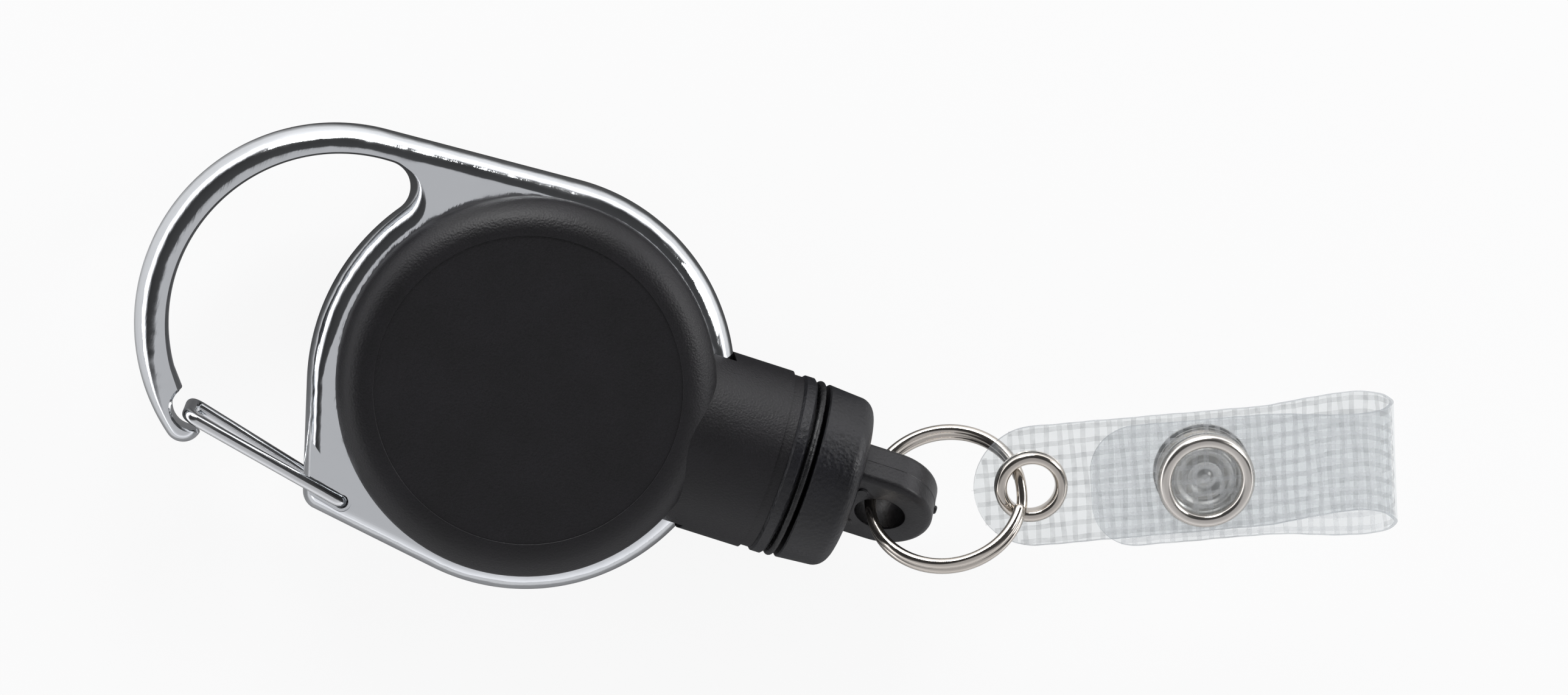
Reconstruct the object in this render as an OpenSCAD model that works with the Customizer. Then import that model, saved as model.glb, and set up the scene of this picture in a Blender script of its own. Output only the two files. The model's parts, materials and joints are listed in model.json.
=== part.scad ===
// Retractable badge reel: a round sprung reel held in a chromed carabiner frame,
// with a docking plug, a swivel lug, a split ring and a clear snap strap.
// The reel lies on its flat rear face. +X runs along the nozzle, +Z out of the front face.

/* [Housing] */
// Diameter of the round housing
disc_d = 37.8; // [37.4:0.1:38.2]
// Thickness of the housing between its two flat faces
disc_t = 19.2; // [19:0.1:20]
// Radius of the rounded shoulder between wall and face
shoulder_r = 3.5; // [3:0.1:3.8]
// Depth of the shallow step that outlines each face
face_step = 0.15; // [0.1:0.05:0.3]
// Wall thickness of both shells
wall = 1.6; // [1.4:0.1:1.8]

/* [Nozzle] */
// Outer diameter of the nozzle
nozzle_d = 18.6; // [18.4:0.1:18.8]
// Distance from the reel axis to the end of the full-width nozzle
nozzle_len = 25.6; // [25:0.1:26]
// Diameter of the necked section next to the collar
neck_d = 18.0; // [17.8:0.1:18.2]
// Diameter of the clamp collar at the mouth
collar_d = 18.5; // [18.3:0.1:18.7]
// Bore of the cord guide
guide_bore_d = 1.5; // [1.4:0.1:1.6]

/* [Carabiner frame] */
// Thickness of the casting
frame_t = 6.5; // [6.3:0.1:6.8]
// Radius of the rounded outer edges
edge_r = 1.9; // [1.7:0.05:2]
// Outer radius of the ring round the housing
ring_r = 20.9; // [20.8:0.1:21.1]
// Outer radius of the hook
hook_r = 20; // [19.8:0.1:20.2]
// Inner radius of the hook
hook_in_r = 17; // [16.8:0.1:17.1]
// Radius of the fillet at the top of the eye
eye_fillet_r = 2.6; // [2.4:0.1:2.8]

/* [Gate] */
// Wire diameter of the gate
gate_wire_d = 1.2; // [1.1:0.05:1.25]
// Length from the pivot to the cross bar
gate_len = 17.5; // [17.3:0.1:17.7]
// How far the gate swings into the eye, in degrees
gate_swing = 25; // [20:1:27]

/* [Cord and spool] */
// Cord diameter
cord_d = 1.0; // [0.9:0.05:1.05]
// Radius of the drum under the cord
drum_r = 11.2; // [11:0.1:11.3]
// Diameter of the fixed centre post
post_d = 4; // [3.8:0.1:4.2]
// Turns of the power spring
spring_turns = 9; // [6:1:12]
// Thickness of the spring strip
spring_strip = 0.25; // [0.2:0.05:0.3]

/* [Plug and lug] */
// Diameter of the end plug
plug_d = 18.2; // [18:0.1:18.4]
// Where the plug starts, from the reel axis
plug_x = 29.5; // [29.4:0.1:29.6]
// Where the plug ends, from the reel axis
plug_end = 34.6; // [34.4:0.1:34.8]
// Thickness of the swivel lug
lug_t = 4.6; // [4.2:0.1:4.8]
// Width of the swivel lug
lug_w = 10.6; // [10.2:0.1:10.8]
// Diameter of the hole in the lug
lug_hole_d = 5; // [4.9:0.1:5.2]
// Turn of the lug about the nozzle axis at rest, in degrees
lug_turn = 51; // [45:1:55]

/* [Split ring] */
// Outside diameter of the split ring
split_d = 16.5; // [16.3:0.1:16.7]
// Wire diameter of the split ring
split_wire_d = 1.1; // [1:0.05:1.15]
// Swing of the ring in the lug at rest, in degrees
split_swing = 23; // [21:1:25]
// Tilt of the ring in the lug at rest, in degrees
split_tilt = 7; // [6:1:8]

/* [Strap] */
// Width of the strap
strap_w = 12.7; // [12.5:0.1:13]
// Thickness of the vinyl sheet
sheet_t = 0.5; // [0.4:0.05:0.6]
// Distance from the eyelet to the snap
snap_x = 17.4; // [17:0.1:18]
// Distance from the eyelet to the middle of the fold
fold_x = 33; // [32.5:0.1:33.8]
// Gap between the middles of the two sheets at the snap
snap_gap = 2.6; // [2.5:0.1:2.8]
// Outside diameter of the eyelet
eyelet_d = 7.4; // [7.2:0.1:7.6]
// Outside diameter of the two snap rings
snap_d = 9.9; // [9.7:0.1:10]

/* [Hidden] */
$fn = 96;
eps = 0.01;
far = 60;
run = 0.05;                       // running clearance on a radius
fit = 0.02;                       // gap between parts that are pressed together

// Housing
mid = disc_t / 2;                 // height of the parting plane
disc_r = disc_d / 2;
flat_r = disc_r - shoulder_r;
cavity_r = 14.9;
cavity_h = mid - wall;            // half height of the cavity
skirt_r = 16.4;
post_cap = 0.8;                   // wall left over the centre post in each shell
web_t = frame_t - 0.2;            // flat web, just under the rounded edge
shell_seat = web_t / 2 + fit;     // where a shell rests on the web
nozzle_r = nozzle_d / 2;
nozzle_in_r = 6.5;
mouth_x = 29.2;
spigot_r = 7.95;
collar_x = 26.7;
collar_len = 1.4;
buffer_x = 28.4;
buffer_len = 0.7;
guide_r = 2.95;
guide_x = [22, 27];
window = [16.4, 3.2];             // width and height of the opening the cord runs through

// Frame
ring_c = [0.3, 0.1];
hook_c = [-19.7, -0.15];
hook_in_c = [-19.3, -0.1];
eye_c = [0.5, -0.4];
fillet_c = [hook_in_c.x, hook_in_c.y + hook_in_r - eye_fillet_r];
eye_r = norm(fillet_c - eye_c) - eye_fillet_r;
bore_r = 16.5;
nose_angle = 231;
rim_end = 195.8;                  // where the eye's rim turns straight
foot_angle = 261;                 // where the ring's foot turns straight
pivot = [-13.8, -16.8];
gate_angle = 166.8;
gate_splay = 0.35;
gate_z = frame_t / 2;
gate_bend = 0.9;
recess_z = gate_z - gate_wire_d / 2 - run;
notch_c = [-30.6, -12.3];
notch_r = 2.2;

// Spool
layers = 3;
rows = 3;
groove_h = rows * cord_d + 0.3;
flange_r = 14.4;
flange_t = 0.9;
chamber_r = 10.2;
spool_foot = -7.5;
spool_web = [3.2, 4.4];
hub_top = 7.2;
guide_kink = 23.2;
lead_r = drum_r + (layers - 0.5) * cord_d;
lead_turn = acos(lead_r / guide_kink);
lead_gap = 5.6;                   // the drawn cord starts this far from the coil

// Plug and lug
plug_r = plug_d / 2;
plug_in_r = 7.6;
plug_floor = 32.6;
stem_r = 2.55;
clip_x = [32, 32.5];
lug_x = plug_end + run;
lug_c = 38.3;
lug_hole_x = 38.3;
knot_x = 30.5;
knot_r = 1.1;

// Split ring
wire_x = 37;                      // where the ring's wire sits in the lug's hole
split_r = (split_d - split_wire_d) / 2;
coil_step = split_wire_d * 0.94;

// Strap
eyelet_at = [51.7, 5.8, 13.35];
strap_turn = [12, -3, 23];
tail = -5.8;
flap_end = 5.8;
rear_bulge = 2.2;
front_bulge = 2.4;
fold_r = (snap_gap + rear_bulge + front_bulge) / 2;
fold_z = fold_r - rear_bulge;
bend_from = 22.5;
flap_gap = 0.45;                  // half the gap at the line where the flap hinges
eyelet_hole_r = 2.5;
snap_in_r = 3.65;
snap_dome = 0.85;
prongs = 5;
prong_r = 0.3;
prong_ring_r = 4.2;
stud_r = 1.6;
socket_hole_r = 1.85;
barrel_t = 0.38;                  // wall of the eyelet's barrel
plate_t = 0.35;                   // thickness of the washer and of the stud's plate
snap_plate_r = 4.8;
socket_top = snap_gap - sheet_t / 2 - fit;
stud_base = sheet_t / 2 + fit;

function polar(c, r, a) = [c.x + r * cos(a), c.y + r * sin(a)];
function arc(c, r, a0, a1, step = 6) =
    let (n = max(1, ceil(abs(a1 - a0) / step)))
    [for (i = [0:n]) polar(c, r, a0 + (a1 - a0) * i / n)];
// Angle of the normal of the line that touches two circles on their upper side
function touch_angle(c1, r1, c2, r2) =
    let (d = c2 - c1)
    atan2(d.y, d.x) + 360 - acos((r1 - r2) / norm(d));
// Where the line through p along angle a meets the line through q along angle b
function meet(p, a, q, b) =
    let (d = q - p, k = cos(a) * sin(b) - sin(a) * cos(b))
    p + (d.x * sin(b) - d.y * cos(b)) / k * [cos(a), sin(a)];
function ease(t) = let (u = min(max(t, 0), 1)) u * u * (3 - 2 * u);

edge_crisp = 0.25;                // the hook's inner edge is only broken by this much
top_angle = touch_angle(ring_c, ring_r, hook_c, hook_r);
rim_start = atan2(fillet_c.y - eye_c.y, fillet_c.x - eye_c.x);
rim_p = polar(eye_c, eye_r - edge_r, rim_end);
foot_p = polar(ring_c, ring_r - edge_r, foot_angle);
heel = meet(rim_p, rim_end + 90, foot_p, foot_angle + 90);
nose_c = polar(hook_c, hook_r - edge_r, nose_angle);

// ---------- frame ----------

// Outline of the casting, drawn in by a given inset along its rounded edges
function frame_outline(inset) =
    let (crisp = min(inset, edge_crisp), corner = edge_r - inset)
    concat(
        arc(nose_c, corner, nose_angle + 115, nose_angle, 23),
        arc(hook_c, hook_r - inset, nose_angle, top_angle),
        arc(ring_c, ring_r - inset, top_angle, foot_angle - 360),
        arc(heel, corner, foot_angle, rim_end, 16),
        arc(eye_c, eye_r - inset, rim_end, rim_start),
        arc(fillet_c, eye_fillet_r + inset, rim_start - 180, 60, 12),
        arc(hook_in_c, hook_in_r + crisp, 86, 212));

// The casting's body: stacked outlines that follow a rounded edge, joined face by face
module frame_body() {
    straight = frame_t / 2 - edge_r;
    turns = [0, 22, 44, 66, 84];
    upper = [for (t = turns) [edge_r * (1 - cos(t)), straight + edge_r * sin(t)]];
    lower = [for (i = [len(turns) - 1:-1:0]) [upper[i][0], -upper[i][1]]];
    levels = concat(lower, upper);
    rings = [for (l = levels) [for (q = frame_outline(l[0])) [q.x, q.y, l[1]]]];
    n = len(rings[0]);
    m = len(levels);
    points = [for (ring = rings) each ring];
    sides = [for (k = [0:m - 2], i = [0:n - 1]) let (j = (i + 1) % n)
        each [[k * n + i, k * n + j, (k + 1) * n + j],
            [k * n + i, (k + 1) * n + j, (k + 1) * n + i]]];
    caps = [[for (i = [0:n - 1]) n - 1 - i], [for (i = [0:n - 1]) (m - 1) * n + i]];
    polyhedron(points, concat(sides, caps));
}

// The leg of the gate lies in a shallow recess that leaves room for its swing
module gate_recess() {
    open_angle = gate_angle - gate_swing;
    half = gate_wire_d / 2 + 0.35;
    reach = 12;
    a = polar(pivot, half, gate_angle + 90);
    d = polar(pivot, half, open_angle - 90);
    linear_extrude(frame_t) {
        translate(pivot) circle(half);
        polygon([a, polar(a, reach, gate_angle), polar(d, reach, open_angle), d]);
    }
}

// The stacked outlines stop just short of the full thickness, so the casting is stretched to it
module carabiner_frame()
    color([0.74, 0.75, 0.77]) translate([0, 0, mid]) resize([0, 0, frame_t]) difference() {
        frame_body();
        cylinder(r = bore_r, h = far, center = true);
        translate([notch_c.x, notch_c.y, 0])
            cylinder(r = notch_r, h = far, center = true);
        translate([pivot.x, pivot.y, 0])
            cylinder(d = gate_wire_d + 0.18, h = far, center = true);
        translate([0, 0, recess_z]) gate_recess();
        mirror([0, 0, 1]) translate([0, 0, recess_z]) gate_recess();
        translate([bore_r, 0, 0]) cube([far / 4, window.x - 2, window.y], center = true);
    }

module rod(p, q, r) {
    d = q - p;
    translate(p) rotate([0, acos(d.z / norm(d)), atan2(d.y, d.x)])
        cylinder(r = r, h = norm(d));
}

function unit(v) = v / norm(v);

// Length that a bend of radius b takes off both rods that meet at q
function bend_cut(p, q, s, b) =
    let (turn = acos(unit(q - p) * unit(s - q)))
    b * tan(turn / 2);

// Bend at q, between the directions p-q and q-s, a hair thicker than the rods it laps over
module bend(p, q, s, b, r) {
    d_in = unit(q - p);
    d_out = unit(s - q);
    start = q - d_in * bend_cut(p, q, s, b);
    inward = unit(d_out - d_in * (d_out * d_in));
    c = start + inward * b;
    up = cross(-inward, d_in);
    multmatrix([[-inward.x, d_in.x, up.x, c.x], [-inward.y, d_in.y, up.y, c.y],
        [-inward.z, d_in.z, up.z, c.z], [0, 0, 0, 1]])
        rotate_extrude(angle = acos(d_in * d_out)) translate([b, 0]) circle(1.04 * r);
}

// Round wire through the points of a path, with a bend at each inner point
module wire(path, b, r) {
    last = len(path) - 1;
    for (i = [0:last - 1]) {
        d = unit(path[i + 1] - path[i]);
        over = r / 5;
        cut_in = i == 0 ? 0 : bend_cut(path[i - 1], path[i], path[i + 1], b) - over;
        cut_out = i == last - 1 ? 0
            : bend_cut(path[i], path[i + 1], path[i + 2], b) - over;
        rod(path[i] + d * cut_in, path[i + 1] - d * cut_out, r);
        if (i < last - 1) bend(path[i], path[i + 1], path[i + 2], b, r);
    }
}

// One bent wire: two hinge ends, two legs and the cross bar that rests in the notch
module gate_wire() {
    r = gate_wire_d / 2;
    tip = polar(pivot, gate_len, gate_angle);
    side = gate_splay * [cos(gate_angle + 90), sin(gate_angle + 90)];
    color([0.8, 0.8, 0.82]) translate([0, 0, mid]) wire([
        [pivot.x, pivot.y, gate_z - 2.6],
        [pivot.x, pivot.y, gate_z],
        [tip.x + side.x, tip.y + side.y, gate_z],
        [tip.x - side.x, tip.y - side.y, -gate_z],
        [pivot.x, pivot.y, -gate_z],
        [pivot.x, pivot.y, 2.6 - gate_z]], gate_bend, r);
}

// ---------- housing ----------

module disc_profile() {
    difference() {
        union() {
            square([flat_r, mid]);
            square([disc_r, mid - shoulder_r]);
            translate([flat_r, mid - shoulder_r]) circle(shoulder_r);
        }
        translate([0, mid - face_step]) square([flat_r - 0.1, 1]);
        translate([0, -far]) square([far, far + shell_seat]);
    }
    square([skirt_r, shell_seat + 0.5]);
}

// A half of the housing, drawn with its parting plane at z = 0
module shell_half() {
    mouth = [nozzle_in_r, spigot_r];
    difference() {
        union() {
            rotate_extrude() disc_profile();
            rotate([0, 90, 0]) cylinder(r = nozzle_r, h = nozzle_len);
            rotate([0, 90, 0]) cylinder(d = neck_d, h = collar_x);
            rotate([0, 90, 0]) cylinder(r = mouth[1], h = mouth_x);
        }
        translate([-far, -far, -2 * far]) cube(2 * far);
        cylinder(r = cavity_r, h = 2 * cavity_h, center = true);
        rotate([0, 90, 0]) cylinder(r = mouth[0], h = far);
        cylinder(d = post_d + 2 * fit, h = mid - post_cap);
        difference() {
            cylinder(r = ring_r + ring_c.x + 0.1, h = frame_t + 0.1, center = true);
            cylinder(r = skirt_r, h = far, center = true);
        }
        translate([cavity_r, 0, 0]) cube([far / 8, window.x, window.y], center = true);
    }
    // Partition that holds the cord guide
    difference() {
        translate([guide_x[0] + 1.5, 0, 0]) rotate([0, 90, 0])
            cylinder(r = nozzle_in_r + 0.5, h = 2);
        translate([-far, -far, -2 * far]) cube(2 * far);
        rotate([0, 90, 0]) cylinder(r = guide_r + fit, h = far);
    }
}

// Boss inside a shell, round the centre post
module post_boss(height)
    difference() {
        translate([0, 0, cavity_h - height]) cylinder(r = 4.2, h = height + 0.3);
        cylinder(d = post_d + 2 * fit, h = mid - post_cap);
    }

module front_shell()
    color([0.13, 0.13, 0.14]) translate([0, 0, mid]) {
        shell_half();
        post_boss(0.6);
    }

module rear_shell()
    color([0.13, 0.13, 0.14]) translate([0, 0, mid]) mirror([0, 0, 1]) {
        shell_half();
        post_boss(0.3);
    }

module along_nozzle(x) translate([x, 0, mid]) rotate([0, 90, 0]) children();

module nozzle_collar() {
    chamfer = 0.25;
    r = collar_d / 2;
    inner = spigot_r + fit;
    color([0.15, 0.15, 0.16]) along_nozzle(collar_x + fit) rotate_extrude()
        polygon([[inner, 0], [r - chamfer, 0], [r, chamfer], [r, collar_len - chamfer],
            [r - chamfer, collar_len], [inner, collar_len]]);
}

module buffer_ring()
    color([0.1, 0.1, 0.1]) along_nozzle(buffer_x) rotate_extrude() {
        inner = spigot_r + fit;
        crown = buffer_len / 2;
        translate([inner, 0]) square([9.2 - inner - crown, buffer_len]);
        translate([9.2 - crown, crown]) circle(crown);
    }

// Hard bush with a bell mouth towards the spool
module cord_guide() {
    bore = guide_bore_d / 2;
    bell = guide_r - bore - 0.25;
    len = guide_x[1] - guide_x[0];
    color([0.85, 0.85, 0.82]) along_nozzle(guide_x[0]) rotate_extrude() difference() {
        union() {
            translate([bore, 0]) square([guide_r - bore, len]);
            translate([bore, len - 1.2]) square([4.6 - bore, 1.2]);
        }
        difference() {
            translate([0, -eps]) square([bore + bell, bell + eps]);
            translate([bore + bell, bell]) circle(bell);
        }
    }
}

// ---------- reel ----------

module centre_post() {
    slot = spring_strip + 0.3;
    color([0.7, 0.7, 0.72]) translate([0, 0, mid]) difference() {
        translate([0, 0, 0.9 - mid]) cylinder(d = post_d, h = 2 * mid - 1.8);
        translate([0, -slot / 2, spool_foot]) cube([post_d, slot, spool_web[0] - spool_foot]);
    }
}

module cord_spool() {
    base = drum_r;
    groove = groove_h / 2;
    height = spool_web[1] - spool_foot;
    color([0.82, 0.82, 0.8]) translate([0, 0, mid]) difference() {
        union() {
            translate([0, 0, spool_foot]) cylinder(r = base, h = height);
            translate([0, 0, groove]) cylinder(r = flange_r, h = flange_t);
            translate([0, 0, -groove - flange_t]) cylinder(r = flange_r, h = flange_t);
            cylinder(r = 3.6, h = hub_top);
        }
        translate([0, 0, spool_foot - eps])
            cylinder(r = chamber_r, h = spool_web[0] - spool_foot + eps);
        cylinder(d = post_d + 2 * run, h = far, center = true);
    }
}

module spool_lid()
    color([0.8, 0.8, 0.78]) translate([0, 0, mid + spool_foot]) difference() {
        cylinder(r = chamber_r - fit, h = 0.5);
        translate([0, 0, -eps]) cylinder(r = 2.7, h = 1);
    }

module cord_coil()
    color([0.08, 0.08, 0.08]) translate([0, 0, mid]) rotate_extrude() {
        packed = [layers - 1, rows - 1] * cord_d;
        translate([drum_r + fit + cord_d / 2, -packed.y / 2]) square(packed);
        for (i = [0:layers - 1], j = [0:rows - 1])
            translate([drum_r + fit + (i + 0.5) * cord_d, (j - (rows - 1) / 2) * cord_d])
                circle(cord_d / 2);
    }

// Flat strip wound from the slot in the post out to the drum
module power_spring() {
    start_r = post_d / 2 + 0.4;
    end_r = chamber_r - 0.2;
    steps = 24 * spring_turns;
    height = 9.4;
    function spiral(side) = [for (i = [0:steps])
        let (t = i / steps)
        polar([0, 0], start_r + (end_r - start_r) * t + side * spring_strip / 2,
            360 * spring_turns * t)];
    color([0.35, 0.37, 0.42]) translate([0, 0, mid + spool_foot + 0.8]) {
        linear_extrude(height) polygon(concat(spiral(-1), [for (i = [0:steps])
            spiral(1)[steps - i]]));
        translate([post_d / 2 - 1.2, -spring_strip / 2, 0])
            cube([start_r - post_d / 2 + 1.2, spring_strip, height]);
    }
}

// The run of cord from the coil, through the guide and the plug, to the knot
module cord_lead() {
    turn_at = lead_r * [cos(lead_turn), sin(lead_turn)];
    run_len = norm([guide_kink, 0] - turn_at);
    start = turn_at + ([guide_kink, 0] - turn_at) * lead_gap / run_len;
    color([0.08, 0.08, 0.08]) translate([0, 0, mid]) wire([
        [start.x, start.y, 0],
        [guide_kink, 0, 0],
        [knot_x - knot_r - run, 0, 0]], 2.4, cord_d / 2);
}

// ---------- plug and lug ----------

module plug_cap() {
    lip = 0.15;
    nose = 1.6;
    r2 = plug_r - 0.25;
    profile = concat(
        [[plug_in_r, 0], [plug_r - lip, 0], [plug_r, lip]],
        arc([r2 - nose, plug_end - plug_x - nose], nose, 0, 90, 10),
        [[stem_r + run, plug_end - plug_x], [stem_r + run, plug_floor - plug_x],
            [plug_in_r, plug_floor - plug_x]]);
    color([0.14, 0.14, 0.15]) along_nozzle(plug_x) rotate_extrude() polygon(profile);
}

// Pressed into the plug: holds the knot and centres the plug in the nozzle's mouth
module plug_insert() {
    body = plug_in_r - fit;
    color([0.2, 0.2, 0.2]) difference() {
        union() {
            along_nozzle(plug_x + 0.1) cylinder(r = body, h = 1.8);
            along_nozzle(plug_x - 2) cylinder(r1 = 5, r2 = 5.6, h = 2.2);
        }
        along_nozzle(plug_x - 3) cylinder(d = cord_d + 0.2, h = 6);
        along_nozzle(knot_x - knot_r - run) cylinder(r = knot_r + run, h = 3);
    }
}

module cord_knot()
    color([0.08, 0.08, 0.08]) translate([knot_x - 0.05, 0, mid]) {
        sphere(knot_r - run);
    }

// Everything that turns with the lug is drawn in the lug's own frame
module lug_frame() translate([0, 0, mid]) rotate([lug_turn, 0, 0]) children();

module swivel_lug()
    color([0.16, 0.16, 0.17]) lug_frame() difference() {
        groove = [clip_x[0] - run, clip_x[1] + run / 2];
        union() {
            linear_extrude(lug_t, center = true) intersection() {
                union() {
                    translate([lug_x, -lug_w / 2]) square([lug_c - lug_x, lug_w]);
                    translate([lug_c, 0]) circle(lug_w / 2);
                }
                translate([lug_x, -lug_w]) square(2 * lug_w);
            }
            translate([clip_x[0] - 0.3, 0, 0]) rotate([0, 90, 0])
                cylinder(r = stem_r, h = lug_x - clip_x[0] + 0.8);
        }
        translate([lug_hole_x, 0, 0]) cylinder(d = lug_hole_d, h = far, center = true);
        translate([groove[0], 0, 0]) rotate([0, 90, 0]) difference() {
            cylinder(r = stem_r + 1, h = groove[1] - groove[0]);
            translate([0, 0, -1]) cylinder(r = 1.9, h = 3);
        }
    }

// Spring clip in the groove of the lug's stem, behind the plug's end wall
module lug_clip()
    color([0.65, 0.66, 0.68]) lug_frame()
        translate([clip_x[0], 0, 0]) rotate([0, 90, 0]) difference() {
            cylinder(r = 4.2, h = clip_x[1] - clip_x[0]);
            translate([0, 0, -1]) cylinder(r = 1.92, h = 3);
            translate([0, -0.9, -1]) cube([6, 1.8, 3]);
        }

// ---------- split ring ----------

module split_ring()
    color([0.72, 0.69, 0.65]) lug_frame() translate([wire_x, 0, 0])
        rotate([0, 0, split_swing]) rotate([split_tilt, 0, 0])
        translate([split_r, 0, 0]) rotate([90, 0, 0]) rotate_extrude()
            translate([split_r, 0]) {
                translate([0, coil_step / 2]) circle(split_wire_d / 2, $fn = 32);
                translate([0, -coil_step / 2]) circle(split_wire_d / 2, $fn = 32);
            }

// ---------- strap ----------

// The strap's own frame: origin at the eyelet, +X to the fold, +Z to the front
module strap_frame() translate(eyelet_at) rotate(strap_turn) children();

function rear_z(x) = -rear_bulge * ease((x - bend_from) / (fold_x - bend_from));
function front_z(x) = snap_gap + front_bulge * ease((x - bend_from) / (fold_x - bend_from));

module sheet(path) {
    n = len(path);
    function normal_at(i) =
        let (d = path[min(i + 1, n - 1)] - path[max(i - 1, 0)])
        [-d.y, d.x] / norm(d) * sheet_t / 2;
    loop = concat([for (i = [0:n - 1]) path[i] + normal_at(i)],
        [for (i = [n - 1:-1:0]) path[i] - normal_at(i)]);
    rotate([90, 0, 0]) linear_extrude(strap_w, center = true) polygon(loop);
}

module strap_rear_leg() {
    bend = [for (i = [0:8]) let (x = bend_from + (fold_x - bend_from) * i / 8)
        [x, rear_z(x)]];
    path = concat([[tail, 0]], bend, arc([fold_x, fold_z], fold_r, -78, 90, 12));
    color([0.87, 0.88, 0.89, 0.6]) strap_frame() difference() {
        intersection() {
            sheet(path);
            linear_extrude(far, center = true) {
                translate([tail + strap_w / 2, 0]) circle(d = strap_w);
                translate([tail + strap_w / 2, -strap_w / 2]) square([far, strap_w]);
            }
        }
        cylinder(r = eyelet_hole_r + barrel_t + 2 * fit, h = 4, center = true);
        translate([snap_x, 0, 0]) prong_set(prong_r + run, 4, -2);
    }
}

module strap_flap() {
    corner = 4.6;
    root_x = fold_x - 2 * flap_gap;
    bend = [for (i = [8:-1:0]) let (x = bend_from + (root_x - bend_from) * i / 8)
        [x, front_z(x)]];
    path = concat(bend, [[flap_end, snap_gap]]);
    color([0.87, 0.88, 0.89, 0.6]) strap_frame() difference() {
        intersection() {
            sheet(path);
            linear_extrude(far, center = true) {
                for (s = [-1, 1])
                    translate([flap_end + corner, s * (strap_w / 2 - corner)])
                        circle(corner);
                translate([flap_end, corner - strap_w / 2])
                    square([2 * corner, strap_w - 2 * corner]);
                translate([flap_end + corner, -strap_w / 2]) square([far, strap_w]);
            }
        }
        translate([snap_x, 0, 0]) prong_set(prong_r + run, 4, snap_gap - 2);
    }
}

module prong_set(r, h, z)
    for (i = [0:prongs - 1])
        rotate([0, 0, 360 / prongs * i])
            translate([prong_ring_r, 0, z]) cylinder(r = r, h = h);

// Rolled rim and barrel of the eyelet, set from the front
module strap_eyelet() {
    rim = (eyelet_d / 2 - eyelet_hole_r) / 2;
    face = sheet_t / 2 + fit;
    color([0.72, 0.69, 0.65]) strap_frame() rotate_extrude() {
        translate([eyelet_hole_r, -face - plate_t]) square([barrel_t, 2 * face + plate_t + 0.15]);
        intersection() {
            translate([eyelet_hole_r + rim, face]) circle(rim);
            translate([0, face]) square([far, 1]);
        }
    }
}

module eyelet_washer()
    color([0.72, 0.69, 0.65]) strap_frame()
        translate([0, 0, -sheet_t / 2 - fit - plate_t]) difference() {
            cylinder(d = eyelet_d, h = plate_t);
            translate([0, 0, -1]) cylinder(r = eyelet_hole_r + barrel_t + fit, h = 2);
        }

// Open prong ring: a domed rim with prongs that pass through the sheet
module prong_ring() {
    rim = (snap_d / 2 - snap_in_r) / 2;
    rotate_extrude() intersection() {
        translate([snap_in_r + rim, 0]) circle(rim);
        translate([0, 0]) square([far, snap_dome]);
    }
    prong_set(prong_r, sheet_t + plate_t, 0.1 - sheet_t - plate_t);
}

module snap_ring_front()
    color([0.75, 0.73, 0.7]) strap_frame()
        translate([snap_x, 0, snap_gap + sheet_t / 2 + fit]) prong_ring();

module snap_ring_rear()
    color([0.75, 0.73, 0.7]) strap_frame()
        translate([snap_x, 0, -sheet_t / 2 - fit]) mirror([0, 0, 1]) prong_ring();

// Female half: a stepped dish under the front sheet, with holes for the prongs
module snap_socket()
    color([0.75, 0.73, 0.7]) strap_frame() translate([snap_x, 0, 0]) difference() {
        union() {
            translate([0, 0, socket_top - 0.4]) cylinder(r = snap_plate_r, h = 0.4);
            translate([0, 0, socket_top - 1.3]) cylinder(r = 3.3, h = 1.2);
        }
        translate([0, 0, socket_top - 2]) cylinder(r = socket_hole_r, h = 1.7);
        translate([0, 0, socket_top - 0.9]) cylinder(r = socket_hole_r + 0.5, h = 0.35);
        prong_set(prong_r + run, 1, socket_top - 0.6);
    }

// Split wire ring inside the socket that grips the stud
module snap_spring() {
    wire = 0.15;
    color([0.7, 0.7, 0.7]) strap_frame() translate([snap_x, 0, socket_top - 0.72])
        rotate([0, 0, 20]) rotate_extrude(angle = 320)
            translate([socket_hole_r + 0.25, 0]) circle(wire);
}

// Male half: a base plate on the rear sheet and a waisted post
module snap_stud()
    color([0.75, 0.73, 0.7]) strap_frame() translate([snap_x, 0, 0]) difference() {
        union() {
            translate([0, 0, stud_base]) cylinder(r = snap_plate_r, h = plate_t);
            translate([0, 0, stud_base]) cylinder(r = stud_r - 0.25, h = 1);
            translate([0, 0, stud_base + 0.9]) cylinder(r = stud_r, h = 0.45);
        }
        prong_set(prong_r + run, 1, stud_base - 0.5);
    }

carabiner_frame();
gate_wire();
front_shell();
rear_shell();
nozzle_collar();
buffer_ring();
cord_guide();
centre_post();
cord_spool();
spool_lid();
cord_coil();
power_spring();
cord_lead();
plug_cap();
plug_insert();
cord_knot();
swivel_lug();
lug_clip();
split_ring();
strap_rear_leg();
strap_eyelet();
eyelet_washer();
snap_stud();
snap_ring_rear();
strap_flap();
snap_ring_front();
snap_socket();
snap_spring();
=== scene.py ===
import json
import math
import bpy
import bmesh
import numpy as np
from mathutils import Euler, Matrix, Vector


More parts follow.
